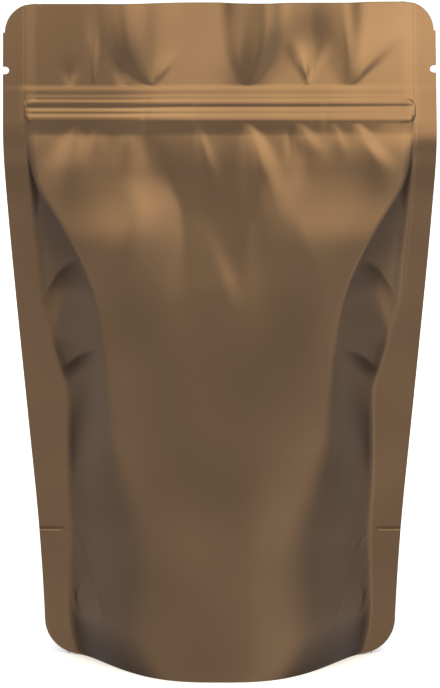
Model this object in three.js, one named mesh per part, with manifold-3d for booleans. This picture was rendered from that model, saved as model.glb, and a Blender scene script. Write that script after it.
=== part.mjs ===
// A filled stand-up pouch of matt metallised film: two film panels welded down both sides, a bottom
// gusset that opens into a foot, a press-to-close zip inside the neck, tear notches and die-cut
// rounded corners. Millimetres, +Z up, the front panel facing -Y, the origin on the floor under the
// middle of the foot.
import * as THREE from 'three';
import { ParametricGeometry } from 'three/addons/geometries/ParametricGeometry.js';
import { mergeGeometries, mergeVertices } from 'three/addons/utils/BufferGeometryUtils.js';
import Module from 'manifold-3d';

const { clamp, lerp, smoothstep } = THREE.MathUtils;

// ---------- driving dimensions ----------
const HEIGHT = 216; // floor to mouth, standing
const FLAT_WIDTH = 140; // the pouch laid flat, over both side seals
const SIDE_SEAL = 7; // width of each welded side seal
const SEAL_THICKNESS = 0.5; // two plies and their sealing layers
const GUSSET_FOLD = 43; // how far the folded gusset reaches up between the panels
const GUSSET_PLIES = 0.3; // what the two plies of the gusset add to a side seal
const MOUTH_LIFT = 0.35; // how far the air in the shut neck lifts each panel

const TOP_CORNER = 9; // radius of the die-cut top corners
const TOP_CORNER_STEP = 0.6; // how far the corner die bites inside the side edge
const BOTTOM_CORNER = 12; // radius of the die-cut bottom corners
const NOTCH_DROP = 20.9; // middle of the tear notches, below the mouth
const NOTCH_WIDTH = 2.4;
const NOTCH_DEPTH = 2;

const ZIP_TOP = HEIGHT - 26; // upper edge of the zip's flange
const ZIP_BOTTOM = HEIGHT - 38.3; // lower edge of the zip's flange
const FLANGE_PROUD = 0.16; // what the flange lifts each panel
// The zip's ribs under the film, as [millimetres below the flange's upper edge, rise]: an upper rib,
// the groove, a lower rib, the press line, and a lip that runs out into the film below.
const ZIP_PROFILE = [
  [2.5, 0],
  [4, 0.08],
  [5, 0.2],
  [6.5, 0.04],
  [8, 0.26],
  [9.5, 0.48],
  [10.4, 0.5],
  [11.2, 0.4],
  [15, 0],
];

const FOOT_HALF = 48.5; // half width of the foot's curved rims
const LOW_BULGE_HALF = 51; // half width of the bulge low down, where film beside the seal lies flat
const HEEL_HEIGHT = 19; // how high up the film has come out from the foot's rim
const SKIRT = 0.9; // thickness of the foot's rim, where panel and gusset are welded together
const HOLLOW_HEIGHT = 3; // the gusset's arch behind the rim
const HOLLOW_REACH = 11; // how far in from the rim the sagging gusset meets the floor

// How deep the middle of each panel stands, as [height, depth] from foot to zip.
const DEPTH = [
  [0, 34],
  [30, 29.9],
  [60, 25.6],
  [80, 22.7],
  [96, 20.4],
  [112, 18.1],
  [125, 16.1],
  [135, 14.1],
  [145, 11.6],
  [154, 8.6],
  [160, 6.2],
  [166, 3.6],
  [172, 1.5],
  [ZIP_BOTTOM, 0.8],
];

// ---------- smooth lines ----------
// A line through a few [place, value] points without overshoot, level past its ends.
function curve(points, at) {
  const last = points.length - 1;
  if (at <= points[0][0]) return points[0][1];
  if (at >= points[last][0]) return points[last][1];
  const next = points.findIndex(([place]) => place > at);
  const [fromPlace, from] = points[next - 1];
  const [toPlace, to] = points[next];
  const run = toPlace - fromPlace;
  const t = (at - fromPlace) / run;
  const leaving = (1 + 2 * t) * (1 - t) ** 2 * from + t * (1 - t) ** 2 * run * slopeAt(points, next - 1);
  const arriving = t * t * (3 - 2 * t) * to - t * t * (1 - t) * run * slopeAt(points, next);
  return leaving + arriving;
}

function slopeAt(points, i) {
  const before = i > 0 ? stepSlope(points, i - 1) : stepSlope(points, i);
  const after = i < points.length - 1 ? stepSlope(points, i) : before;
  return before * after > 0 ? (2 * before * after) / (before + after) : 0;
}

const stepSlope = (points, i) => (points[i + 1][1] - points[i][1]) / (points[i + 1][0] - points[i][0]);

// `count` even steps from `from` on, the last ending at `to`, which isn't one of them.
function spaced(from, to, count) {
  return Array.from({ length: count }, (_, i) => lerp(from, to, i / count));
}

// Nothing up to `start`, then a slope that eases in until `end` and stays at one.
function bent(at, start, end) {
  const t = clamp((at - start) / (end - start), 0, 1);
  return (t ** 3 - t ** 4 / 2) * (end - start) + Math.max(0, at - end);
}

// ---------- outline ----------
// Below the zip the seals lean inwards, because the film there goes round the contents and not
// straight across. At the toe they splay again.
const LEAN = 0.09;
const LEAN_START = 22;
const TOE_HEIGHT = 60;
const TOE_OUT = 0.0006;
const BULGE_TO_SEAL = [86, 122]; // over this height the bulge comes to fill the film up to the seals

function edgeHalf(z) {
  const below = Math.max(0, ZIP_BOTTOM - z);
  const lean = LEAN * (Math.hypot(below, LEAN_START) - LEAN_START);
  const toe = TOE_OUT * Math.max(0, TOE_HEIGHT - z) ** 2;
  return FLAT_WIDTH / 2 - lean + toe;
}

const sealHalf = (z) => edgeHalf(z) - SIDE_SEAL;

// How far the film has come out from the foot's rim, fastest at the rim itself.
const heel = (z) => 1 - (1 - Math.min(1, z / HEEL_HEIGHT)) ** 2;

function bulgeHalf(z) {
  const low = lerp(FOOT_HALF, LOW_BULGE_HALF, heel(z));
  return lerp(low, sealHalf(z), smoothstep(z, ...BULGE_TO_SEAL));
}

const sealThickness = (z) => SEAL_THICKNESS + (z < GUSSET_FOLD ? GUSSET_PLIES : 0);

// ---------- the bulge's section ----------
// Low down it is round. Higher up the full front ends in a crease, the shoulder, and the film beyond
// it hollows towards the seal. As [height, value]: the crease's distance from the middle, its depth as
// a share of the middle's, how softly it turns, and how strongly the side hollows.
const SHOULDER_OUT = [
  [40, 36],
  [85, 37],
  [105, 36.8],
  [120, 39.2],
  [134, 44],
  [146, 50.5],
  [157, 57.6],
  [165, 61],
  [177, 62],
];
const SHOULDER_LEVEL = [
  [40, 0.8],
  [120, 0.82],
  [140, 0.86],
  [150, 0.84],
  [160, 0.77],
  [172, 0.6],
];
const SHOULDER_SOFTNESS = [
  [40, 0.16],
  [85, 0.12],
  [105, 0.025],
  [120, 0.015],
];
const SIDE_HOLLOW = [
  [85, 1],
  [100, 1.02],
  [120, 1.2],
  [140, 1.45],
  [177, 1.1],
];
const SHOULDER_TO_SEAL = 0.9; // the crease stays this far inside the bulge's side
const FRONT_POWER = 2.3;
const LOW_POWER = 2.9;
const LOW_ROUNDING = 1.5;
const HEEL_ROUNDING = [1.48, 1.1]; // at the foot's rim, and once the film has come out
const ROUNDING_CHANGE = [12, 46]; // over this height the heel's rounding gives way to the low one
const SHOULDER_CHANGE = [42, 84]; // and over this one the round section to the shouldered one

// A dent beside a seal: under an arc from `seal` up to `inner` the side hollows `more` within `drop`,
// and the film comes out again over `ease`.
const DENT_FALL = 1.6;
const SIDE_DENTS = [
  { seal: [58.5, 119.5], inner: [45, 135], more: 0.5, drop: 10, ease: 24 },
  { seal: [51, 98], inner: [36.8, 107], more: 0.3, drop: 7, ease: 40 },
];

function dentHollow(x, z, { seal, inner, more, drop, ease }) {
  const along = clamp((seal[0] - Math.abs(x)) / (seal[0] - inner[0]), 0, 1);
  const below = lerp(inner[1], seal[1], (1 - along) ** 2) - z;
  const fall = 1 - (1 - clamp(below / drop, 0, 1)) ** DENT_FALL;
  return more * fall * (1 - smoothstep(below, drop, ease));
}

const shoulderHalf = (z) => Math.min(curve(SHOULDER_OUT, z), bulgeHalf(z) - SHOULDER_TO_SEAL);

function section(x, z) {
  const half = bulgeHalf(z);
  const u = Math.min(1, Math.abs(x) / half);
  const heelRounding = lerp(...HEEL_ROUNDING, heel(z));
  const rounding = lerp(heelRounding, LOW_ROUNDING, smoothstep(z, ...ROUNDING_CHANGE));
  const low = (1 - u ** LOW_POWER) ** rounding;

  const knee = shoulderHalf(z) / half;
  const level = curve(SHOULDER_LEVEL, z);
  const softness = curve(SHOULDER_SOFTNESS, z);
  const hollow = SIDE_DENTS.reduce((sum, dent) => sum + dentHollow(x, z, dent), curve(SIDE_HOLLOW, z));
  const front = (1 - (1 - level) * (u / knee) ** FRONT_POWER) / softness;
  const side = (level * ((1 - u) / (1 - knee)) ** hollow) / softness;
  const turned = Math.min(front, side) - Math.log1p(Math.exp(-Math.abs(front - side)));
  return lerp(low, Math.max(0, softness * turned), smoothstep(z, ...SHOULDER_CHANGE));
}

// ---------- relief of the film ----------
// A slack channel runs down the middle of each neck between two straight flanks. Down the pouch: how
// deep it is, and where its left and right flanks begin.
const CHANNEL_DEPTH = [
  [50, 0],
  [75, 0.9],
  [100, 2.3],
  [118, 3.3],
  [132, 3.8],
  [142, 3.5],
  [154, 2.45],
  [166, 1.15],
  [172, 0.5],
  [ZIP_BOTTOM, 0],
];
const CHANNEL_LEFT = [
  [110, -8],
  [136, -11],
  [152, -12.5],
  [163, -17],
  [177, -17.5],
];
const CHANNEL_RIGHT = [
  [110, 5],
  [136, 9.5],
  [152, 11.5],
  [164, 14.5],
  [177, 13.5],
];
const LOW_FLANK = 26; // width of a flank where the channel fades out
const LEFT_FLANK = 15;
const RIGHT_FLANK = 12;
const FLANK_TURN = 4;
const FLANK_NARROWING = [115, 152];

function flank(beyond, wide) {
  const top = bent(beyond, wide - FLANK_TURN, wide + FLANK_TURN);
  return (bent(beyond, -FLANK_TURN, FLANK_TURN) - top) / wide;
}

function channel(x, z) {
  const narrowing = smoothstep(z, ...FLANK_NARROWING);
  const left = flank(curve(CHANNEL_LEFT, z) - x, lerp(LOW_FLANK, LEFT_FLANK, narrowing));
  const right = flank(x - curve(CHANNEL_RIGHT, z), lerp(LOW_FLANK, RIGHT_FLANK, narrowing));
  return curve(CHANNEL_DEPTH, z) * (left + right - 1);
}

// Folds that fan out from points pinched by the zip. Above it the two panels lie together and fold as
// one, and below it each panel folds alone. `depth` is a fan's slope at its point, and past `settle` it
// opens no further.
const OPEN_ENDED = 200;
const MOUTH_FANS = [
  { tip: -21.5, lean: -1.05, spread: 1, depth: 0.12, reach: 24, settle: 7 },
  { tip: 8.7, lean: 0.25, spread: 1.25, depth: 0.11, reach: 90, settle: 7 },
  { tip: 28.7, lean: -0.3, spread: 0.3, depth: 0.16, reach: 8 },
  { tip: 42.7, lean: 0.75, spread: 0.45, depth: 0.1, reach: 14 },
];
const NECK_FANS = [
  { tip: -56, lean: 0, spread: 0.6, depth: 0.08, reach: 32 },
  { tip: -46, lean: -0.15, spread: 0.5, depth: 0.12, reach: 18 },
  { tip: 8.7, lean: 0.6, spread: 0.6, depth: 0.15, reach: 24, settle: 14 },
  { tip: 44, lean: 0.5, spread: 0.4, depth: 0.15, reach: 11 },
  { tip: 56, lean: 0, spread: 0.6, depth: 0.09, reach: 32 },
];

function fanHeight(x, away, { tip, lean, spread, depth, reach, settle = OPEN_ENDED }) {
  if (away <= 0) return 0;
  const opened = settle * (1 - Math.exp(-away / settle));
  const beside = (x - tip - lean * opened) / (spread * opened);
  return depth * away * Math.exp(-((away / reach) ** 2) - beside ** 2);
}

const fansAt = (fans, x, away) => fans.reduce((sum, fan) => sum + fanHeight(x, away, fan), 0);

// The wave that arches over the mouth's right half from one pinched point to another, leaning to one
// side: the film steps forward as it passes the arch, by the arch's slope added up from the zip.
const ARCH = { middle: 30, top: 19.5, inner: 4.6, outer: 5, slope: 0.14 };
const ARCH_LEFT = { half: 21.3, power: 1.25 };
const ARCH_RIGHT = { half: 12, power: 1.8 };
const ARCH_STEPS = 14;
const ARCH_ROOT = [-14, 9]; // the arch's band widens over these distances from the zip

function archSlope(x, away) {
  const { half, power } = x < ARCH.middle ? ARCH_LEFT : ARCH_RIGHT;
  const sideways = (Math.abs(x - ARCH.middle) / half) ** power;
  const ring = (sideways + (away / ARCH.top) ** power) ** (1 / power);
  const width = (ring < 1 ? ARCH.inner : ARCH.outer) * smoothstep(away, ...ARCH_ROOT);
  return ARCH.slope * Math.exp(-((((ring - 1) * ARCH_RIGHT.half) / width) ** 2));
}

function archHeight(x, away) {
  if (away <= 0) return 0;
  const places = spaced(away / (2 * ARCH_STEPS), away + away / (2 * ARCH_STEPS), ARCH_STEPS);
  return (away / ARCH_STEPS) * places.reduce((sum, place) => sum + archSlope(x, place), 0);
}

// How far the two panels together stand behind the middle plane: the neck leans forward a little, the
// mouth bends back from the zip upwards, more so on the right, and its folds stand forward of that.
const NECK_LEAN = -0.12;
const NECK_BEND = [144, 162];
const MOUTH_BEND = [163, 179];
const SEAL_STIFFNESS = 6; // within this distance of a side seal the mouth's folds die away
const MOUTH_LEAN = [
  [-35, 0.22],
  [-10, 0.325],
  [30, 0.345],
  [60, 0.4],
];

function sway(x, z) {
  const neck = NECK_LEAN * bent(z, ...NECK_BEND);
  const mouth = (curve(MOUTH_LEAN, x) - NECK_LEAN) * bent(z, ...MOUTH_BEND);
  const folds = fansAt(MOUTH_FANS, x, z - ZIP_TOP) + archHeight(x, z - ZIP_TOP);
  return neck + mouth - folds * smoothstep(sealHalf(z) - Math.abs(x), 0, SEAL_STIFFNESS);
}

function zipRelief(z) {
  const onFlange = z > ZIP_BOTTOM && z < ZIP_TOP;
  return curve(ZIP_PROFILE, ZIP_TOP - z) + (onFlange ? FLANGE_PROUD : 0);
}

// ---------- a point on either panel: side is -1 for the front and +1 for the back ----------
const FILLET = [3.5, 1]; // how gently the bulge leaves the seal at the foot, and higher up
const FILLET_CHANGE = [20, 60];
const CREASE_START = 4; // creases reach their full height this far from the bulge's side
const ZIP_START = 2; // and the zip's relief this far

function panelY(x, z, side) {
  const seal = sealThickness(z) / 2;
  const inward = Math.max(0, bulgeHalf(z) - Math.abs(x));
  const full = curve(DEPTH, z) * section(x, z);
  const swell = full ** 2 / (full + lerp(...FILLET, smoothstep(z, ...FILLET_CHANGE)));
  const creases = channel(-side * x, z) + fansAt(NECK_FANS, -side * x, ZIP_BOTTOM - z);
  const proud = swell + (MOUTH_LIFT + creases) * smoothstep(inward, 0, CREASE_START);
  const zip = zipRelief(z) * smoothstep(inward, 0, ZIP_START);
  return side * (seal + Math.max(0, proud) + zip) + sway(x, z);
}

// ---------- mesh lines ----------
const ZIP_EDGE = 0.1; // height over which the film climbs onto the flange
const PLY_STEP = 0.3; // the same over the gusset's fold
const HEEL_ROWS = [0, 3, 7, 12];
const NECK_START = 136; // the neck's rows are closer together from here up to the zip

const ROWS = [
  ...HEEL_ROWS,
  ...spaced(HEEL_HEIGHT, GUSSET_FOLD - PLY_STEP, 3),
  GUSSET_FOLD - PLY_STEP,
  ...spaced(GUSSET_FOLD + PLY_STEP, BULGE_TO_SEAL[0], 5),
  ...spaced(BULGE_TO_SEAL[0], NECK_START, 13),
  ...spaced(NECK_START, ZIP_BOTTOM - CREASE_START, 11),
  ZIP_BOTTOM - ZIP_EDGE,
  ZIP_BOTTOM + ZIP_EDGE,
  ...ZIP_PROFILE.slice(0, -1).map(([below]) => ZIP_TOP - below).reverse(),
  ZIP_TOP - ZIP_EDGE,
  ZIP_TOP + ZIP_EDGE,
  ...spaced(ZIP_TOP + CREASE_START, HEIGHT, 8),
  HEIGHT,
];
const LAST_ROW = ROWS.length - 1;

// Columns run from edge to edge. One follows the shoulder crease on each side, up to the neck, where
// the columns spread out evenly. The last on each side crosses the seal.
const FRONT_COLUMNS = 12; // from the middle to the shoulder
const SIDE_COLUMNS = 7; // from the shoulder to the seal
const HALF_COLUMNS = FRONT_COLUMNS + SIDE_COLUMNS + 1;
const COLUMNS = 2 * HALF_COLUMNS;
const EVEN_FROM = [168, 184];

function columnX(column, z) {
  const steps = Math.abs(column - HALF_COLUMNS);
  const evenly = (bulgeHalf(z) * FRONT_COLUMNS) / (FRONT_COLUMNS + SIDE_COLUMNS);
  const shoulder = lerp(shoulderHalf(z), evenly, smoothstep(z, ...EVEN_FROM));
  const beyond = (steps - FRONT_COLUMNS) / SIDE_COLUMNS;
  let half = (shoulder * steps) / FRONT_COLUMNS;
  if (beyond > 0) half = lerp(shoulder, bulgeHalf(z), beyond);
  if (beyond > 1) half = edgeHalf(z);
  return Math.sign(column - HALF_COLUMNS) * half;
}

// ---------- surfaces of the closed body ----------
// Each is a grid of whole steps, and neighbours work out the points they share in the same way.
function surface(columns, rows, pointAt) {
  const place = (u, v, target) => target.set(...pointAt(Math.round(u * columns), Math.round(v * rows)));
  return new ParametricGeometry(place, columns, rows);
}

function panelPoint(column, row, side) {
  const z = ROWS[row];
  const x = columnX(column, z);
  return [x, panelY(x, z, side), z];
}

const front = surface(COLUMNS, LAST_ROW, (i, j) => panelPoint(i, j, -1));
const back = surface(COLUMNS, LAST_ROW, (i, j) => panelPoint(COLUMNS - i, j, 1));
const mouth = surface(COLUMNS, 1, (i, j) => panelPoint(i, LAST_ROW, j ? 1 : -1));
const rightEdge = surface(1, LAST_ROW, (i, j) => panelPoint(COLUMNS, j, i ? 1 : -1));
const leftEdge = surface(1, LAST_ROW, (i, j) => panelPoint(0, j, i ? -1 : 1));

// The foot from below: rim, hollow, and the gusset that the contents press down to the floor, front
// and back alike.
const SAG_INSET = 0.6; // on its way down the gusset passes this point, in shares of the hollow
const SAG_RISE = 0.45;
const HOLLOW_ROOM = 1.2; // where the foot is narrower than this many hollows, they grow narrower too
const FOOT_LINES = [
  { inset: 0, rise: 0 },
  { inset: SKIRT, rise: 0 },
  { inset: 2 * SKIRT, rise: HOLLOW_HEIGHT },
  { inset: SAG_INSET * HOLLOW_REACH, rise: SAG_RISE * HOLLOW_HEIGHT },
  { inset: HOLLOW_REACH, rise: 0 },
];
const FOOT_STEPS = 2 * FOOT_LINES.length - 1;

function footPoint(column, step) {
  const side = step < FOOT_LINES.length ? 1 : -1;
  const line = FOOT_LINES[side > 0 ? step : FOOT_STEPS - step];
  const [x, rimY] = panelPoint(column, 0, side);
  const room = Math.abs(rimY) - sealThickness(0) / 2;
  const inset = line.inset * Math.min(1, room / (HOLLOW_ROOM * HOLLOW_REACH));
  return [x, rimY - side * inset, line.rise * smoothstep(room, 0, 2 * HOLLOW_REACH)];
}

const foot = surface(COLUMNS, FOOT_STEPS, footPoint);

// ---------- solids ----------
const MERGE_DISTANCE = 1e-3;
const wasm = await Module();
wasm.setup();

function solidFrom(geometry) {
  geometry.deleteAttribute('normal');
  geometry.deleteAttribute('uv');
  const merged = mergeVertices(geometry, MERGE_DISTANCE);
  const corners = [...merged.index.array];
  const triVerts = [];
  for (let i = 0; i < corners.length; i += 3) {
    const [a, b, c] = corners.slice(i, i + 3);
    if (a !== b && b !== c && c !== a) triVerts.push(a, b, c);
  }
  const mesh = new wasm.Mesh({
    numProp: 3,
    vertProperties: merged.attributes.position.array,
    triVerts: new Uint32Array(triVerts),
  });
  return new wasm.Manifold(mesh);
}

function geometryFrom(solid) {
  const mesh = solid.getMesh();
  const geometry = new THREE.BufferGeometry();
  geometry.setAttribute('position', new THREE.BufferAttribute(mesh.vertProperties, 3));
  geometry.setIndex(new THREE.BufferAttribute(mesh.triVerts, 1));
  geometry.computeVertexNormals();
  return geometry;
}

// ---------- die cuts ----------
// Each is drawn for the right-hand edge as seen from the front, mirrored for the left, and goes
// through the seal, which leans back by some 16 mm at the mouth.
const DIE_THICKNESS = 60;
const DIE_CLEAR = 3; // how far a die's outline stays outside the film
const DIE_SEGMENTS = 10;

function cornerDie(x, z, radius, up) {
  const level = z - up * radius;
  const die = new THREE.Shape();
  die.moveTo(x + DIE_CLEAR, level);
  die.lineTo(x, level);
  die.absarc(x - radius, level, radius, 0, (up * Math.PI) / 2, up < 0);
  die.lineTo(x - radius, z + up * DIE_CLEAR);
  die.lineTo(x + DIE_CLEAR, z + up * DIE_CLEAR);
  return die;
}

function notchDie(x, z) {
  const radius = NOTCH_WIDTH / 2;
  const bottom = x - NOTCH_DEPTH + radius;
  const die = new THREE.Shape();
  die.moveTo(x + DIE_CLEAR, z + radius);
  die.absarc(bottom, z, radius, Math.PI / 2, (3 * Math.PI) / 2, false);
  die.lineTo(x + DIE_CLEAR, z - radius);
  return die;
}

function cutBothSides(solid, die) {
  const outline = die.getPoints(DIE_SEGMENTS);
  return [-1, 1].reduce((cut, side) => {
    const mirrored = new THREE.Shape(outline.map((point) => new THREE.Vector2(side * point.x, point.y)));
    const block = new THREE.ExtrudeGeometry(mirrored, { depth: DIE_THICKNESS, bevelEnabled: false });
    block.rotateX(Math.PI / 2);
    block.translate(0, DIE_THICKNESS / 2, 0);
    return cut.subtract(solidFrom(block));
  }, solid);
}

const dies = [
  cornerDie(edgeHalf(HEIGHT) - TOP_CORNER_STEP, HEIGHT, TOP_CORNER, 1),
  cornerDie(edgeHalf(BOTTOM_CORNER), 0, BOTTOM_CORNER, -1),
  notchDie(edgeHalf(HEIGHT - NOTCH_DROP), HEIGHT - NOTCH_DROP),
];
const filled = solidFrom(mergeGeometries([front, back, mouth, rightEdge, leftEdge, foot]));

// ---------- scene graph ----------
const bronzeFilm = new THREE.MeshStandardMaterial({ color: '#b48d6a', metalness: 0.9, roughness: 0.42 });
const pouch = new THREE.Mesh(geometryFrom(dies.reduce(cutBothSides, filled)), bronzeFilm);
pouch.name = 'pouch';

const group = new THREE.Group();
group.add(pouch);

export default group;
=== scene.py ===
import math

import bpy
import numpy as np
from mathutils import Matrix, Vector


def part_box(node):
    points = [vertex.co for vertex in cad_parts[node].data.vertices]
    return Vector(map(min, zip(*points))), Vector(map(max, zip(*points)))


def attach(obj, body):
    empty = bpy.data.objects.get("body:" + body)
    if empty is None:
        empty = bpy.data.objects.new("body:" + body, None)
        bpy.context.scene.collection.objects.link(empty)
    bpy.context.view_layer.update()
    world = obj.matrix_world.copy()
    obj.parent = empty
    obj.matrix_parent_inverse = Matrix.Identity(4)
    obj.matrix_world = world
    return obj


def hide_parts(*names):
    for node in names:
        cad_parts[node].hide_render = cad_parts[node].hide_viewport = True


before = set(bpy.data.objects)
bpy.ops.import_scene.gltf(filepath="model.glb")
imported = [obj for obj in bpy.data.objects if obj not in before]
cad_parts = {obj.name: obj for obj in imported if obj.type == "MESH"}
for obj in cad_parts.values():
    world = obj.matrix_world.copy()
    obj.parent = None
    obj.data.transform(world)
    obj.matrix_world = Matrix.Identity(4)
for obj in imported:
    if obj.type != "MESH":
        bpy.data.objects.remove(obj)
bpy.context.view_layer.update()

bpy.ops.object.select_all(action="DESELECT")

# The studio: a floor of white background paper that the pouch stands on. The paper is uncoated, so it is
# matt and mirrors next to nothing. The camera is a metre away and looks slightly down through a long lens.
SWEEP_HALF = 7.0
PAPER_COLOUR = "#f4f3f1"
PAPER_ROUGHNESS = 0.8
PAPER_GLOSS = 0.1
CAMERA_DISTANCE = 1.0
CAMERA_REACH = 50.0
CAMERA_TILT = math.radians(11.5)
AIM_HEIGHT = 0.110
FOCAL_PIXELS = 3058.0
CENTRE_ROW = 331.0
PHOTO_HEIGHT = 688
SENSOR = 36.0


def linear(code):
    """A colour written as sRGB hex, as the linear values that Blender takes."""
    parts = [int(code[i : i + 2], 16) / 255 for i in (1, 3, 5)]
    return [c / 12.92 if c <= 0.04045 else ((c + 0.055) / 1.055) ** 2.4 for c in parts] + [1.0]


scene = bpy.context.scene
scene.view_settings.view_transform = "Standard"

camera_data = bpy.data.cameras.new("camera")
camera_data.sensor_width = SENSOR
camera_data.lens = FOCAL_PIXELS * SENSOR / PHOTO_HEIGHT
camera_data.shift_y = (CENTRE_ROW - PHOTO_HEIGHT / 2) / PHOTO_HEIGHT
camera_data.clip_end = CAMERA_REACH
camera = bpy.data.objects.new("camera", camera_data)
toward = Vector((0, math.cos(CAMERA_TILT), -math.sin(CAMERA_TILT)))
camera.location = Vector((0, 0, AIM_HEIGHT)) - toward * CAMERA_DISTANCE
camera.rotation_euler = toward.to_track_quat("-Z", "Y").to_euler()
scene.collection.objects.link(camera)
scene.camera = camera

bpy.ops.mesh.primitive_plane_add(size=2 * SWEEP_HALF)
sweep = bpy.context.object
sweep.name = "sweep"
sweep.visible_glossy = False
paper = bpy.data.materials.new("seamless_paper")
paper.use_nodes = True
paper_shader = paper.node_tree.nodes["Principled BSDF"]
paper_shader.inputs["Base Color"].default_value = linear(PAPER_COLOUR)
paper_shader.inputs["Roughness"].default_value = PAPER_ROUGHNESS
paper_shader.inputs["Specular IOR Level"].default_value = PAPER_GLOSS
sweep.data.materials.append(paper)

# A wide softbox overhead whitens the paper and lays the soft shadow round the foot. The film doesn't
# mirror it.
OVERHEAD_HEIGHT = 2.2
OVERHEAD_SIZE = 3.0
OVERHEAD_POWER = 62.0
overhead_data = bpy.data.lights.new("overhead_softbox", "AREA")
overhead_data.size = OVERHEAD_SIZE
overhead_data.energy = OVERHEAD_POWER
overhead = bpy.data.objects.new("overhead_softbox", overhead_data)
overhead.location = (0, 0, OVERHEAD_HEIGHT)
overhead.visible_glossy = False
scene.collection.objects.link(overhead)

# The room that the film mirrors: two tall windows in front, a dimmer gap between them where the camera
# stands, and cool grey walls round the sides and back. Each is a ramp of brightness, as (elevation in
# degrees, brightness) stops.
ROOM_STRENGTH = 3.0
WINDOW_RAMP = [(-90, 0.03), (-40, 0.08), (-16, 0.35), (0, 0.26), (8, 0.23), (15, 0.36), (24, 0.72),
               (34, 0.95), (52, 0.95), (90, 0.4)]
GAP_RAMP = [(-90, 0.03), (-40, 0.08), (-14, 0.32), (-2, 0.25), (5, 0.2), (11, 0.15), (18, 0.19),
            (30, 0.66), (40, 0.95), (54, 0.95), (90, 0.4)]
WALLS_RAMP = [(-90, 0.03), (-40, 0.1), (-15, 0.3), (0, 0.24), (30, 0.2), (60, 0.3), (90, 0.36)]
PLAIN = "#ffffff"
WALLS_TINT = "#d6deee"

# The windows and the gap are cooler low down and warmer high up, and change over these elevations.
LOW_TINT = "#fbfcff"
HIGH_TINT = "#fff8e6"
WARMING = (4, 26)

# How many degrees to either side of the camera the gap and the windows end, each over a soft edge. The
# right-hand window is the brighter one: the gain changes over this reach, the sine of the turn.
GAP_EDGE = (5, 17)
WINDOW_EDGE = (44, 76)
GAIN_REACH = 0.6
RIGHT_WINDOW_GAIN = (0.86, 1.14)


def add_node(tree, kind, inputs=None, stops=(), **settings):
    """A shader node with its settings, its inputs (values, or outputs to link) and its ramp's stops, of
    which a new ramp has two."""
    node = tree.nodes.new(kind)
    for name, value in settings.items():
        setattr(node, name, value)
    for socket, value in (inputs or {}).items():
        if isinstance(value, bpy.types.NodeSocket):
            tree.links.new(value, node.inputs[socket])
        else:
            node.inputs[socket].default_value = value
    for i, (position, colour) in enumerate(stops):
        elements = node.color_ramp.elements
        element = elements[i] if i < 2 else elements.new(position)
        element.position = position
        element.color = colour
    return node


world = bpy.data.worlds.new("room")
scene.world = world
world.use_nodes = True
room = world.node_tree

direction = add_node(room, "ShaderNodeTexCoord").outputs["Generated"]
axes = add_node(room, "ShaderNodeSeparateXYZ", {"Vector": direction}).outputs
height = add_node(room, "ShaderNodeMapRange", {"Value": axes["Z"], "From Min": -1.0}).outputs["Result"]
sideways = add_node(room, "ShaderNodeMath", {0: axes["X"]}, operation="ABSOLUTE").outputs[0]
forward = add_node(room, "ShaderNodeMath", {0: axes["Y"], 1: -1.0}, operation="MULTIPLY").outputs[0]
turn = add_node(room, "ShaderNodeMath", {0: sideways, 1: forward}, operation="ARCTAN2").outputs[0]

lights = []
for ramp_stops, tint in ((WINDOW_RAMP, PLAIN), (GAP_RAMP, PLAIN), (WALLS_RAMP, WALLS_TINT)):
    places = [0.5 + 0.5 * math.sin(math.radians(elevation)) for elevation, _ in ramp_stops]
    colours = [[value * part for part in linear(tint)[:3]] + [1] for _, value in ramp_stops]
    ramp = add_node(room, "ShaderNodeValToRGB", {"Fac": height}, zip(places, colours))
    ramp.color_ramp.interpolation = "EASE"
    lights.append(ramp.outputs["Color"])
window_light, gap_light, wall_light = lights

edges = []
for value, (start, end), (low, high) in (
    (turn, map(math.radians, GAP_EDGE), (0, 1)),
    (turn, map(math.radians, WINDOW_EDGE), (0, 1)),
    (axes["X"], (-GAIN_REACH, GAIN_REACH), RIGHT_WINDOW_GAIN),
    (axes["Z"], [math.sin(math.radians(elevation)) for elevation in WARMING], (0, 1)),
):
    spans = {"From Min": start, "From Max": end, "To Min": low, "To Max": high}
    edge = add_node(room, "ShaderNodeMapRange", {"Value": value, **spans}, interpolation_type="SMOOTHSTEP")
    edges.append(edge.outputs["Result"])
in_window, in_walls, window_gain, warmth = edges

# A Mix node keeps a set of sockets for each kind of data: these are its colour ones.
FIRST, SECOND, MIXED = 6, 7, 2
BLEND = {"data_type": "RGBA", "blend_type": "MIX"}
MULTIPLY = {"data_type": "RGBA", "blend_type": "MULTIPLY"}
layers = {"Factor": 1.0, FIRST: window_light, SECOND: window_gain}
windows = add_node(room, "ShaderNodeMix", layers, **MULTIPLY).outputs[MIXED]
layers = {"Factor": in_window, FIRST: gap_light, SECOND: windows}
front = add_node(room, "ShaderNodeMix", layers, **BLEND).outputs[MIXED]
layers = {"Factor": warmth, FIRST: linear(LOW_TINT), SECOND: linear(HIGH_TINT)}
tint = add_node(room, "ShaderNodeMix", layers, **BLEND).outputs[MIXED]
layers = {"Factor": 1.0, FIRST: front, SECOND: tint}
tinted_front = add_node(room, "ShaderNodeMix", layers, **MULTIPLY).outputs[MIXED]
layers = {"Factor": in_walls, FIRST: tinted_front, SECOND: wall_light}
all_round = add_node(room, "ShaderNodeMix", layers, **BLEND).outputs[MIXED]
background = room.nodes["Background"]
background.inputs["Strength"].default_value = ROOM_STRENGTH
room.links.new(all_round, background.inputs["Color"])

# The two film panels. Each is one ply of unprinted metallised laminate, welded to the other down both
# sides and at the foot, and pushed out by the contents. The film can't stretch, so it folds where it has
# length to spare: in the shoulder creases, beside the seals and at the zip. Sizes are in millimetres.
MM = 0.001
FILM = 0.24
high_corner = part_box("pouch")[1]
HEIGHT = high_corner.z / MM
FLAT_HALF = high_corner.x / MM
SIDE_SEAL = 7.0
FREE_HALF = FLAT_HALF - SIDE_SEAL

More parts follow.
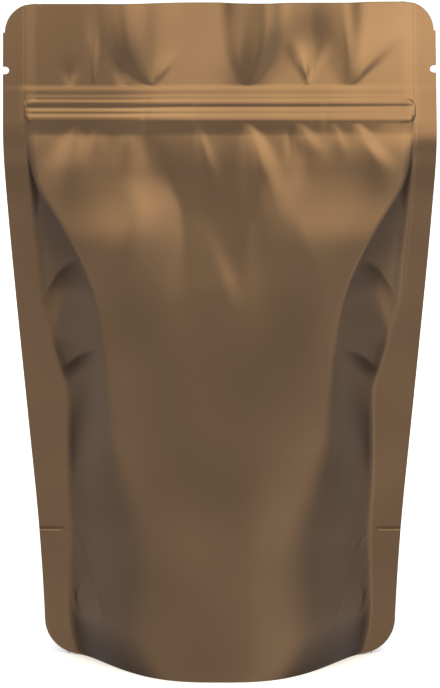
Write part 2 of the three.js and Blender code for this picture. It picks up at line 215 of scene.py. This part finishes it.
# The cut outline. Below the zip the side edges lean in, because the film there goes round the contents,
# and at the toe they splay again. The corners are round, and each side has a tear notch.
ZIP_TOP = HEIGHT - 26.0
ZIP_BOTTOM = HEIGHT - 38.3
SIDE_LEAN = 0.09
LEAN_START = 22.0
TOE_HEIGHT = 60.0
TOE_OUT = 0.0006
TOP_CORNER = 9.0
TOP_CORNER_STEP = 0.6
BOTTOM_CORNER = 12.0
NOTCH_Z = HEIGHT - 20.9
NOTCH_RADIUS = 1.2
NOTCH_DEPTH = 2.0


def edge_half(z):
    """Half the width between the side edges, before the corners and notches are cut."""
    below = np.maximum(0, ZIP_BOTTOM - z)
    toe = TOE_OUT * np.maximum(0, TOE_HEIGHT - z) ** 2
    return FLAT_HALF - SIDE_LEAN * (np.hypot(below, LEAN_START) - LEAN_START) + toe


def seal_half(z):
    return edge_half(z) - SIDE_SEAL


def outline_half(z):
    """Half the width of the cut film."""
    half = edge_half(z)
    over = np.clip(z - (HEIGHT - TOP_CORNER), 0, TOP_CORNER)
    top = half - TOP_CORNER_STEP - TOP_CORNER + np.sqrt(TOP_CORNER**2 - over**2)
    half = np.where(z > HEIGHT - TOP_CORNER, top, half)
    under = np.clip(BOTTOM_CORNER - z, 0, BOTTOM_CORNER)
    half = half - BOTTOM_CORNER + np.sqrt(BOTTOM_CORNER**2 - under**2)
    away = np.abs(z - NOTCH_Z)
    bite = NOTCH_DEPTH - NOTCH_RADIUS + np.sqrt(np.maximum(0, NOTCH_RADIUS**2 - away**2))
    return half - np.where(away <= NOTCH_RADIUS, bite, 0)


# The bulge, as (height, value) points: how deep the front stands, how far out its shoulder crease runs
# and how deep as a share of the front, how softly it turns, and how the side behind it hollows. At the
# foot the section is round, without a shoulder, and where it meets a seal a fillet eases it in.
DEPTH = [(0, 34.0), (30, 29.9), (60, 25.6), (80, 22.7), (96, 20.4), (112, 18.1), (125, 16.1),
         (135, 14.1), (145, 11.6), (154, 8.6), (160, 6.2), (166, 3.6), (172, 1.5), (ZIP_BOTTOM, 0.8)]
SHOULDER = [(40, 36.0), (85, 37.0), (105, 36.8), (120, 39.2), (134, 44.0), (146, 50.5), (157, 57.6),
            (165, 61.0), (177, 62.0)]
SHOULDER_TO_SEAL = 0.9
SHOULDER_LEVEL = [(40, 0.8), (100, 0.82), (120, 0.82), (140, 0.84), (150, 0.75), (160, 0.6),
                  (172, 0.5), (177, 0.5)]
SHOULDER_SOFTNESS = [(40, 0.16), (85, 0.12), (105, 0.025), (120, 0.015), (177, 0.015)]
SIDE_HOLLOW = [(40, 1.0), (85, 1.0), (100, 1.02), (120, 1.2), (140, 1.45), (177, 1.1)]
SHOULDER_CHANGE = (42, 84)
FRONT_POWER = 2.3
LOW_POWER = 2.9
LOW_ROUNDING = 1.5
ROUNDING_CHANGE = (12, 46)
FOOT_HALF = 48.5
LOW_BULGE_HALF = 51.0
BULGE_TO_SEAL = (86, 122)
HEEL_HEIGHT = 19.0
HEEL_ROUNDING = (1.48, 1.1)
FILLET = (3.5, 1.0)
FILLET_CHANGE = (20, 60)
CURVE_REACH = 4.0
CURVE_SAMPLES = 9


def smooth(value, start, end):
    share = np.clip((value - start) / (end - start), 0, 1)
    return share * share * (3 - 2 * share)


def mix(a, b, share):
    return a + (b - a) * share


def curve(points, at):
    """A smooth line through a few (place, value) points, level past its ends."""
    places, values = np.array(points, float).T
    steps = np.diff(values) / np.diff(places)
    turning = steps[:-1] * steps[1:] <= 0
    bends = np.where(turning, 0, 2 * steps[:-1] * steps[1:] / np.where(turning, 1, steps[:-1] + steps[1:]))
    slopes = np.concatenate([steps[:1], bends, steps[-1:]])
    i = np.clip(np.searchsorted(places, at) - 1, 0, len(places) - 2)
    run = places[i + 1] - places[i]
    t = np.clip((at - places[i]) / run, 0, 1)
    start = (1 + 2 * t) * (1 - t) ** 2 * values[i] + t * (1 - t) ** 2 * run * slopes[i]
    end = t**2 * (3 - 2 * t) * values[i + 1] - t**2 * (1 - t) * run * slopes[i + 1]
    return start + end


def softened(points, at):
    """The same line with its bends spread over a few millimetres, so that none shows in the gloss."""
    shares = np.linspace(-1, 1, CURVE_SAMPLES)
    return sum(curve(points, at + CURVE_REACH * share) for share in shares) / CURVE_SAMPLES


def bent(z, start, end):
    """Nothing up to `start`, then a slope that eases in until `end` and stays at one."""
    t = np.clip((z - start) / (end - start), 0, 1)
    return (t**3 - t**4 / 2) * (end - start) + np.maximum(0, z - end)


def heel(z):
    """How far the film has come out from the foot's rim, fastest at the rim itself."""
    return 1 - (1 - np.clip(z / HEEL_HEIGHT, 0, 1)) ** 2


def bulge_half(z):
    low = mix(FOOT_HALF, LOW_BULGE_HALF, heel(z))
    return mix(low, seal_half(z), smooth(z, *BULGE_TO_SEAL))


# The dents beside the seals. The film buckles along an arc from `seal` up to `inner`, as (x, z) points:
# under that ridge the side hollows by `depth` more within `drop` millimetres, and has filled again
# `ease` millimetres below it.
SIDE_DENTS = [
    {"seal": (58.5, 119.5), "inner": (45.0, 135.0), "depth": 0.5, "drop": 10, "ease": 24},
    {"seal": (51.0, 98.0), "inner": (36.8, 107.0), "depth": 0.3, "drop": 7, "ease": 40},
]
DENT_FALL = 1.6


def dent(x, z, seal, inner, depth, drop, ease):
    along = np.clip((seal[0] - np.abs(x)) / (seal[0] - inner[0]), 0, 1)
    below = mix(inner[1], seal[1], (1 - along) ** 2) - z
    fall = 1 - (1 - np.clip(below / drop, 0, 1)) ** DENT_FALL
    return depth * fall * (1 - smooth(below, drop, ease))


def section(x, z):
    """The bulge's section, from 1 in the middle to 0 at its sides."""
    half = bulge_half(z)
    u = np.minimum(np.abs(x) / half, 1)
    rounding = mix(mix(*HEEL_ROUNDING, heel(z)), LOW_ROUNDING, smooth(z, *ROUNDING_CHANGE))
    low = (1 - u**LOW_POWER) ** rounding
    knee = np.minimum(softened(SHOULDER, z), half - SHOULDER_TO_SEAL) / half
    level = softened(SHOULDER_LEVEL, z)
    softness = softened(SHOULDER_SOFTNESS, z)
    front = 1 - (1 - level) * (u / knee) ** FRONT_POWER
    hollow = softened(SIDE_HOLLOW, z) + sum(dent(x, z, **shape) for shape in SIDE_DENTS)
    side = level * ((1 - u) / (1 - knee)) ** hollow
    high = np.maximum(0, -softness * np.logaddexp(-front / softness, -side / softness))
    return mix(low, high, smooth(z, *SHOULDER_CHANGE))


# A slack channel runs down the middle of the neck between two straight flanks. Down the pouch: how deep
# it is, and where its left and right flanks begin. The flanks are wide and turn gently low down, and get
# narrower and crisper over the heights of FLANK_NARROWING.
CHANNEL_DEPTH = [(50, 0), (75, 0.9), (100, 2.3), (118, 3.3), (132, 3.8), (142, 3.5), (154, 2.45),
                 (160, 1.85), (166, 1.15), (172, 0.5), (ZIP_BOTTOM, 0)]
CHANNEL_LEFT = [(110, -8.0), (136, -11.0), (152, -12.5), (163, -17.0), (177, -17.5)]
CHANNEL_RIGHT = [(110, 5.0), (136, 9.5), (152, 11.5), (164, 14.5), (177, 13.5)]
LOW_FLANK = 26.0
LEFT_FLANK = 15.0
RIGHT_FLANK = 12.0
FLANK_NARROWING = (115, 152)
FLANK_TURNS = (1.5, 4.0)
LOW_TURNS = (8.0, 8.0)


def flank(beyond, width, narrowing):
    """The climb out of the channel, as a share of its depth, between two soft turns."""
    wide = mix(LOW_FLANK, width, narrowing)
    low, high = (mix(*turns, narrowing) for turns in zip(LOW_TURNS, FLANK_TURNS))
    return (bent(beyond, -low, low) - bent(beyond, wide - high, wide + high)) / wide


def channel(x, z):
    narrowing = smooth(z, *FLANK_NARROWING)
    left = flank(softened(CHANNEL_LEFT, z) - x, LEFT_FLANK, narrowing)
    right = flank(x - softened(CHANNEL_RIGHT, z), RIGHT_FLANK, narrowing)
    return softened(CHANNEL_DEPTH, z) * (left + right - 1)


# Creases, each between two (x, z) points, so wide to its left and right, and so high or, below nought,
# sunk. A slanting ridge stands out where the neck's channel ends. Low down on both sides the gusset's
# own seal shows through each panel as a faint line, and the film crumples round it.
NECK_CREASE = {"start": (-7, 148), "end": (6.5, 110), "left": 8, "right": 4.5, "height": 0.6, "ease": 0.6}
SEAL_CREASES = [
    {"start": (53.0, 43.2), "end": (46.6, 40.2), "left": 0.6, "right": 0.6, "height": -0.25},
    {"start": (47.6, 40.8), "end": (43.2, 32.6), "left": 0.6, "right": 0.6, "height": -0.32},
    {"start": (43.8, 34.0), "end": (40.6, 26.5), "left": 0.6, "right": 0.9, "height": -0.3},
    {"start": (46.5, 41.5), "end": (38.0, 39.5), "left": 0.7, "right": 1.2, "height": -0.15},
    {"start": (50.5, 33.0), "end": (45.0, 25.0), "left": 1.4, "right": 0.8, "height": 0.2},
    {"start": (49.5, 24.0), "end": (47.0, 15.0), "left": 0.8, "right": 1.0, "height": -0.25},
    {"start": (45.5, 27.0), "end": (48.0, 18.0), "left": 0.8, "right": 0.8, "height": 0.2},
    {"start": (40.5, 24.0), "end": (37.5, 14.0), "left": 0.8, "right": 1.2, "height": 0.3},
    {"start": (50.5, 14.5), "end": (54.0, 9.5), "left": 0.6, "right": 0.5, "height": -0.2},
]
# Along a crease, as shares of its length: it rises from CREASE_BEGIN up to its `ease`, and dies away over
# CREASE_FADE. As shares of its width: how wide it is at its start and its end.
CREASE_BEGIN = -0.1
CREASE_FADE = (0.5, 1.2)
CREASE_WIDTHS = (0.6, 1.4)


def crease(x, z, start, end, left, right, height, ease=0.2):
    run_x, run_z = end[0] - start[0], end[1] - start[1]
    length = math.hypot(run_x, run_z)
    along = ((x - start[0]) * run_x + (z - start[1]) * run_z) / length**2
    beside = ((x - start[0]) * run_z - (z - start[1]) * run_x) / length
    taper = smooth(along, CREASE_BEGIN, ease) * (1 - smooth(along, *CREASE_FADE))
    width = np.where(beside > 0, left, right) * mix(*CREASE_WIDTHS, np.clip(along, 0, 1))
    return height * taper * np.exp(-((beside / width) ** 2))


# Fans: folds that spread from a pinched point at the zip, `tip`, and stand out or, where the depth is
# below nought, are sunk. Below the zip each panel has its own. Above it both panels move together: ridges
# fan up to the mouth, and one wave arches over its right half.
NECK_FANS = [
    {"tip": -56.0, "lean": 0.0, "spread": 0.4, "depth": 0.08, "reach": 32, "root": 12},
    {"tip": -46.0, "lean": -0.15, "spread": 0.4, "depth": 0.12, "reach": 18, "root": 4},
    {"tip": -39.0, "lean": -0.15, "spread": 0.35, "depth": 0.08, "reach": 12, "root": 3},
    {"tip": -30.0, "lean": 0.0, "spread": 0.3, "depth": 0.04, "reach": 12, "root": 3},
    {"tip": -24.0, "lean": 0.1, "spread": 0.25, "depth": -0.07, "reach": 12, "root": 6},
    {"tip": -7.5, "lean": 0.28, "spread": 0.16, "depth": 0.06, "reach": 14, "root": 5},
    {"tip": -0.5, "lean": 0.0, "spread": 0.2, "depth": -0.06, "reach": 6, "root": 5},
    {"tip": 8.7, "lean": 0.6, "spread": 0.5, "depth": 0.15, "reach": 24, "root": 2, "settle": 14},
    {"tip": 22.0, "lean": 0.2, "spread": 0.2, "depth": -0.12, "reach": 11, "root": 5},
    {"tip": 25.5, "lean": 0.55, "spread": 0.3, "depth": 0.11, "reach": 6.5, "root": 4},
    {"tip": 36.5, "lean": 0.3, "spread": 0.22, "depth": 0.08, "reach": 7, "root": 4},
    {"tip": 44.0, "lean": 0.5, "spread": 0.3, "depth": 0.16, "reach": 11, "root": 4},
    {"tip": 56.0, "lean": 0.0, "spread": 0.4, "depth": 0.075, "reach": 32, "root": 12},
]
MOUTH_FANS = [
    {"tip": -48.5, "lean": 0.0, "spread": 0.3, "depth": -0.1, "reach": 5, "root": 3},
    {"tip": -40.9, "lean": 0.0, "spread": 0.13, "depth": 0.09, "reach": 13},
    {"tip": -31.7, "lean": 0.0, "spread": 0.3, "depth": -0.1, "reach": 5, "root": 3},
    {"tip": -21.5, "lean": -1.05, "spread": 1.0, "depth": 0.125, "reach": 24, "settle": 7, "edge": 3},
    {"tip": -21.5, "lean": 0.55, "spread": 0.3, "depth": 0.14, "reach": 6},
    {"tip": 8.7, "lean": 0.25, "spread": 1.25, "depth": 0.11, "reach": 90, "settle": 7, "edge": 4},
    {"tip": 8.7, "lean": 0.1, "spread": 0.25, "depth": -0.05, "reach": 20},
    {"tip": 28.7, "lean": -0.3, "spread": 0.22, "depth": 0.2, "reach": 8},
    {"tip": 28.7, "lean": 0.3, "spread": 0.25, "depth": -0.1, "reach": 9},
    {"tip": 42.7, "lean": 0.75, "spread": 0.4, "depth": 0.1, "reach": 14},
]
PINCH_DROP = 0.6
OPEN_ENDED = 200.0
TIP_HALF = 0.05
MOUTH_ARCH = {"middle": 30.0, "halves": (21.3, 12.0), "powers": (1.25, 1.8), "top": 19.5,
              "inner": 4.6, "outer": 5.0, "depth": 0.14}
ARCH_STEPS = 14
ARCH_ROOT = (-14, 9)
SEAL_STIFFNESS = 6.0


def fan(x, away, tip, lean, spread, depth, reach, root=0.0, settle=OPEN_ENDED, edge=2):
    """The slope of a fan whose point lies `root` behind the zip's edge. With each millimetre from there it
    is `spread` wider to both sides and `lean` further over, until it has opened as at `settle`. It dies
    away over `reach`, and a higher `edge` makes its flanks steeper."""
    opened = settle * (1 - np.exp(-(away + root) / settle))
    beside = np.abs(x - tip - lean * (opened - root)) / (spread * opened + TIP_HALF)
    return depth * np.exp(-((away / reach) ** 2)) * np.exp(-(beside**edge))


def arch(x, away, middle, halves, powers, top, inner, outer, depth):
    """The slope of the wave, a band along an arch as high as `top` and with `halves` to either side of its
    `middle`. It is `inner` wide inside the arch and `outer` outside."""
    half, power = (np.where(x < middle, left, right) for left, right in (halves, powers))
    ring = ((np.abs(x - middle) / half) ** power + (away / top) ** power) ** (1 / power)
    width = np.where(ring < 1, inner, outer) * smooth(away, *ARCH_ROOT)
    return depth * np.exp(-(((ring - 1) * min(halves) / width) ** 2))


def folds(x, away):
    """How far the mouth's folds stand forward: the fans' rise, and the arch's slope added up."""
    steps = (np.arange(ARCH_STEPS) + 0.5) / ARCH_STEPS
    arched = sum(arch(x, away * step, **MOUTH_ARCH) for step in steps) / ARCH_STEPS
    return away * (sum(fan(x, away, **shape) for shape in MOUTH_FANS) + arched)


# The neck leans forward a little, and from the zip upwards the mouth bends back, by these slopes and
# between these heights. It bends back further on the right.
NECK_LEAN = -0.12
NECK_BEND = (144, 162)
MOUTH_LEAN = [(-60, 0.22), (-35, 0.22), (-10, 0.325), (30, 0.345), (60, 0.4)]
MOUTH_BEND = (163, 179)


def sway(x, z):
    """How far the two panels together stand behind the middle plane."""
    neck = NECK_LEAN * bent(z, *NECK_BEND)
    mouth = (softened(MOUTH_LEAN, x) - NECK_LEAN) * bent(z, *MOUTH_BEND)
    freedom = smooth(seal_half(z) - np.abs(x), 0, SEAL_STIFFNESS)
    return neck + mouth - folds(x, np.maximum(0, z - ZIP_TOP)) * freedom


# The press-to-close zip: two extruded profiles welded inside the panels. Each has a flange above and
# interlocked ribs below, which show through the film as a bar with a groove and a press line. The bar's
# ends are round, with a raised rim, and its lower rib has a few nicks.
FLANGE_RISE = 0.16
FLANGE_LOW_EDGE = 2.0
FLANGE_HIGH_EDGE = (-1.4, 0.8)
FLANGE_IN_SEAL = 0.3
FLANGE_TO_SEAL = (-1.5, 0.5)
# The ribs' own profile, as (millimetres below the flange's top, rise) points: the flange's foot, an upper
# rib, the groove, a lower rib, the press line and a lip that runs out into the film below.
BAR_PROFILE = [(2.5, 0), (3.2, 0.06), (4.0, 0.08), (4.8, 0.2), (5.3, 0.2), (6.5, 0.04), (7.8, 0.26),
               (8.3, 0.26), (9.5, 0.48), (10.3, 0.5), (11.2, 0.4), (15, 0)]
BAR_TOP = HEIGHT - 30.0
BAR_BOTTOM = HEIGHT - 37.3
BAR_PAST_SEAL = 0.3
BAR_RUN_OUT = 2.0
BAR_END_ROUND = 2.4
BAR_END_SOFTNESS = 0.7
BAR_END_RISE = 0.25
BAR_END_LENGTH = (1.5, 5)
BAR_END_EDGE = (-0.2, 0.4)
ZIP_NICKS = [-23.8, -7.8, 34.0]
NICK_HALF = 0.7
NICK_SHARE = 0.3


def zip_relief(x, z):
    from_end = seal_half(z) - np.abs(x) + BAR_PAST_SEAL
    below, above = BAR_TOP - z, z - BAR_BOTTOM
    nicks = sum(np.exp(-(((x - at) / NICK_HALF) ** 2)) for at in ZIP_NICKS)
    bar = curve(BAR_PROFILE, ZIP_TOP - z) * smooth(from_end, 0, BAR_RUN_OUT) * (1 - NICK_SHARE * nicks)

    short = np.maximum(0, BAR_END_ROUND - from_end)
    narrow = np.maximum(0, BAR_END_ROUND - np.minimum(below, above))
    inside = BAR_END_ROUND - np.hypot(short, narrow * (short > 0))
    rim = smooth(inside, 0, BAR_END_SOFTNESS) * (1 - smooth(from_end, *BAR_END_LENGTH))
    rim = BAR_END_RISE * rim * smooth(below, *BAR_END_EDGE) * smooth(above, *BAR_END_EDGE)

    low_edge = smooth(z, ZIP_BOTTOM - FLANGE_LOW_EDGE, ZIP_BOTTOM + FLANGE_LOW_EDGE)
    flange = FLANGE_RISE * low_edge * (1 - smooth(z - ZIP_TOP, *FLANGE_HIGH_EDGE))
    return flange * mix(FLANGE_IN_SEAL, 1, smooth(from_end, *FLANGE_TO_SEAL)) + bar + rim


# The side seals. Two plies of film make them, and from the floor to the gusset's fold the gusset's two
# plies as well, with a groove along the fold. A faint bead of sealant stands along their inner edge.
SEAL_HALF_THICKNESS = 0.25
GUSSET_FOLD = 43.0
GUSSET_PLY = 0.15
GUSSET_PLY_SIDE = (50, 53)
PLY_STEP = 0.3
PLY_GROOVE = 0.4
SEAL_BEAD = 0.10
BEAD_HALF = 0.35
BEAD_START = (115, 140)


def seal_y(away, z):
    step = 1 - smooth(z, GUSSET_FOLD - PLY_STEP, GUSSET_FOLD + PLY_STEP)
    step -= np.exp(-(((z - GUSSET_FOLD) / PLY_GROOVE) ** 2))
    bead = SEAL_BEAD * np.exp(-(((away - seal_half(z)) / BEAD_HALF) ** 2)) * smooth(z, *BEAD_START)
    return SEAL_HALF_THICKNESS + GUSSET_PLY * step * smooth(away, *GUSSET_PLY_SIDE) + bead


# The air in the shut neck lifts each panel a little. The lift and the creases reach their full height
# this far in from the bulge's side.
MOUTH_LIFT = 0.35
CREASE_START = 4.0


def panel_y(x, z, side):
    """The outer face of a panel: side is -1 for the front and +1 for the back."""
    away = np.abs(x)
    swell = softened(DEPTH, z) * section(x, z)
    swell = swell**2 / (swell + mix(*FILLET, smooth(z, *FILLET_CHANGE)))
    under = np.maximum(0, ZIP_BOTTOM + PINCH_DROP - z)
    creases = crease(-side * x, z, **NECK_CREASE) + sum(crease(away, z, **shape) for shape in SEAL_CREASES)
    creases += under * sum(fan(-side * x, under, **shape) for shape in NECK_FANS) + channel(-side * x, z)
    inward = np.clip(bulge_half(z) - away, 0, None)
    proud = swell + (MOUTH_LIFT + creases) * smooth(inward, 0, CREASE_START)
    return side * (seal_y(away, z) + zip_relief(x, z) + np.maximum(0, proud)) + sway(x, z)


def stretches(*parts):
    """Mesh lines from (start, end, step) stretches, each start counted and the last end added."""
    lines = []
    for start, end, step in parts:
        count = max(1, round((end - start) / step))
        lines += [mix(start, end, i / count) for i in range(count)]
    return np.array(lines + [parts[-1][1]])


# The mesh lines of a panel: close together over the gusset's fold, the zip, the notches, the corners and
# the seals' inner edges, and a hair apart where a cut steps in.
CUT = 0.02
NOTCH_LOW = NOTCH_Z - NOTCH_RADIUS
NOTCH_HIGH = NOTCH_Z + NOTCH_RADIUS
CORNER_LOW = HEIGHT - TOP_CORNER
ROWS = stretches(
    (0, 4, 0.5),
    (4, GUSSET_FOLD - 0.5, 0.7),
    (GUSSET_FOLD - 0.5, GUSSET_FOLD + 0.5, 0.2),
    (GUSSET_FOLD + 0.5, 96, 0.9),
    (96, ZIP_BOTTOM - 2, 0.7),
    (ZIP_BOTTOM - 2, ZIP_TOP + 1, 0.27),
    (ZIP_TOP + 1, NOTCH_LOW - CUT, 0.7),
    (NOTCH_LOW - CUT, NOTCH_LOW, CUT),
    (NOTCH_LOW, NOTCH_HIGH, 0.24),
    (NOTCH_HIGH, NOTCH_HIGH + CUT, CUT),
    (NOTCH_HIGH + CUT, CORNER_LOW, 0.8),
    (CORNER_LOW, CORNER_LOW + CUT, CUT),
    (CORNER_LOW + CUT, HEIGHT - 2, 0.55),
    (HEIGHT - 2, HEIGHT, 0.2),
)
RIGHT_COLUMNS = stretches(
    (0, 34, 0.8),
    (34, FREE_HALF - 2, 0.6),
    (FREE_HALF - 2, FREE_HALF - 0.8, 0.4),
    (FREE_HALF - 0.8, FREE_HALF + 0.8, 0.2),
    (FREE_HALF + 0.8, FLAT_HALF - 0.5, 1.2),
    (FLAT_HALF - 0.5, FLAT_HALF, 0.5),
)
COLUMNS = np.concatenate([-RIGHT_COLUMNS[:0:-1], RIGHT_COLUMNS])
EDGE_ROOM = 0.8
SHARP = math.radians(50)


def flat_film(name, columns, rows):
    """A flat sheet of film, and how far its points lie across and along it, from 0 to 1."""
    bpy.ops.object.select_all(action="DESELECT")
    bpy.ops.mesh.primitive_grid_add(x_subdivisions=columns, y_subdivisions=rows, size=1)
    film = bpy.context.object
    film.name = name
    points = np.empty(len(film.data.vertices) * 3)
    film.data.vertices.foreach_get("co", points)
    across, along = points.reshape(-1, 3)[:, :2].T + 0.5
    return film, across, along


def form_film(film, x, y, z, thickness, rim_only=False):
    """Move a sheet's points to their places and thicken it inwards, with nothing below the floor."""
    film.data.vertices.foreach_set("co", (np.stack([x, y, z], axis=1) * MM).ravel())
    wall = film.modifiers.new("film thickness", "SOLIDIFY")
    wall.thickness = thickness * MM
    wall.offset = -1
    wall.use_rim_only = rim_only
    bpy.ops.object.modifier_apply(modifier=wall.name)
    points = np.empty(len(film.data.vertices) * 3)
    film.data.vertices.foreach_get("co", points)
    points[2::3] = np.maximum(points[2::3], 0)
    film.data.vertices.foreach_set("co", points)
    bpy.ops.object.shade_smooth_by_angle(angle=SHARP)


def film_panel(name, side):
    """One panel, cut to its outline and pushed out by the contents."""
    panel, across, along = flat_film(name, len(COLUMNS) - 1, len(ROWS) - 1)
    column = COLUMNS[np.rint(across * (len(COLUMNS) - 1)).astype(int)]
    z = ROWS[np.rint(along * (len(ROWS) - 1)).astype(int)]
    outline = outline_half(z)
    inner = np.minimum(seal_half(z), outline - EDGE_ROOM)
    in_seal = np.clip((np.abs(column) - FREE_HALF) / SIDE_SEAL, 0, 1)
    half = np.where(in_seal > 0, mix(inner, outline, in_seal), inner * np.abs(column) / FREE_HALF)
    x = -side * np.sign(column) * half
    form_film(panel, x, panel_y(x, z, side), z, FILM, rim_only=True)
    return panel


front_panel = film_panel("front_panel", -1)
back_panel = film_panel("back_panel", 1)

# The film's finish: vacuum-metallised bronze film under a matt lacquer. The metal mirrors and the lacquer
# blurs, so the room shows as broad soft bands, a little cloudy where the lacquer has rubbed. Its real
# grain, some hundredths of a millimetre, is far too fine to show and is drawn as coarse as GRAIN_SIZE.
FILM_ROUGHNESS = 0.26
LACQUER = 0.5
LACQUER_ROUGHNESS = 0.5
CLOUD_SIZE = 24.0
CLOUD_DETAIL = 0.0
CLOUD_TONES = ("#6b5138", "#7d6145")
GRAIN_SIZE = 0.7
GRAIN_DETAIL = 1.0
GRAIN_HEIGHT = 0.0012
bronze = bpy.data.materials.new("matt_lacquered_metallised_film")
bronze.use_nodes = True
tree = bronze.node_tree
shader = tree.nodes["Principled BSDF"]
shader.inputs["Metallic"].default_value = 1.0
shader.inputs["Roughness"].default_value = FILM_ROUGHNESS
shader.inputs["Coat Weight"].default_value = LACQUER
shader.inputs["Coat Roughness"].default_value = LACQUER_ROUGHNESS
place = add_node(tree, "ShaderNodeTexCoord").outputs["Object"]
clouds, grain = (
    add_node(tree, "ShaderNodeTexNoise", {"Vector": place, "Scale": 1 / (size * MM), "Detail": detail})
    for size, detail in ((CLOUD_SIZE, CLOUD_DETAIL), (GRAIN_SIZE, GRAIN_DETAIL))
)
tone_stops = zip((0, 1), map(linear, CLOUD_TONES))
tones = add_node(tree, "ShaderNodeValToRGB", {"Fac": clouds.outputs["Fac"]}, tone_stops)
relief = add_node(tree, "ShaderNodeBump", {"Height": grain.outputs["Fac"], "Distance": GRAIN_HEIGHT * MM})
tree.links.new(tones.outputs["Color"], shader.inputs["Base Color"])
tree.links.new(relief.outputs["Normal"], shader.inputs["Normal"])

for panel in (front_panel, back_panel):
    panel.data.materials.append(bronze)
    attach(panel, "root")
    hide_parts("pouch")

# The bottom gusset: a third ply of the same film, welded into the foot of both panels. The contents open
# it out over the whole foot, a little above the floor inside the welded rim, and its middle fold still
# stands as a crease.
GUSSET_GRID = (120, 72)
GUSSET_PAST_FOOT = 0.5
GUSSET_INSET = 0.7 * FILM
RIM_HEIGHT = 0.6
HOLLOW_HEIGHT = 3.2
HOLLOW_REACH = 6.0
FOLD_HEIGHT = 0.7
FOLD_WIDTH = 1.1
FOLD_ENDS = (1, 8)
gusset, across, along = flat_film("gusset", *GUSSET_GRID)
x = np.sin((across - 0.5) * math.pi) * (FOOT_HALF + GUSSET_PAST_FOOT)
rim = np.full_like(x, RIM_HEIGHT)
reach = -panel_y(x, rim, -1) - GUSSET_INSET
y = (1 - 2 * along) * reach
hollow = HOLLOW_HEIGHT * (1 - np.exp(-(((reach - np.abs(y)) / HOLLOW_REACH) ** 2)))
fold = FOLD_HEIGHT * np.exp(-np.abs(y) / FOLD_WIDTH) * smooth(reach, *FOLD_ENDS)
form_film(gusset, x, y, rim + hollow + fold, FILM)
gusset.data.materials.append(bronze)
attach(gusset, "root")
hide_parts("pouch")

# The gusset's folded plies, which lie flat inside the two side seals from the foot up to the gusset's
# fold and fill them there: the same film, welded between the panels.
PLIES = 0.3
PLIES_INNER = LOW_BULGE_HALF - 0.6
PLIES_GRID = (12, 90)
for name, side in (("left_gusset_plies", -1), ("right_gusset_plies", 1)):
    plies, across, along = flat_film(name, *PLIES_GRID)
    z = mix(PLIES, GUSSET_FOLD - PLIES, along**2)
    outer = np.maximum(outline_half(z) - PLIES / 2, PLIES_INNER + PLIES)
    x = side * mix(PLIES_INNER, outer, 0.5 + side * (across - 0.5))
    form_film(plies, x, np.full_like(x, -PLIES / 2), z, PLIES)
    plies.data.materials.append(bronze)
    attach(plies, "root")
    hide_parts("pouch")
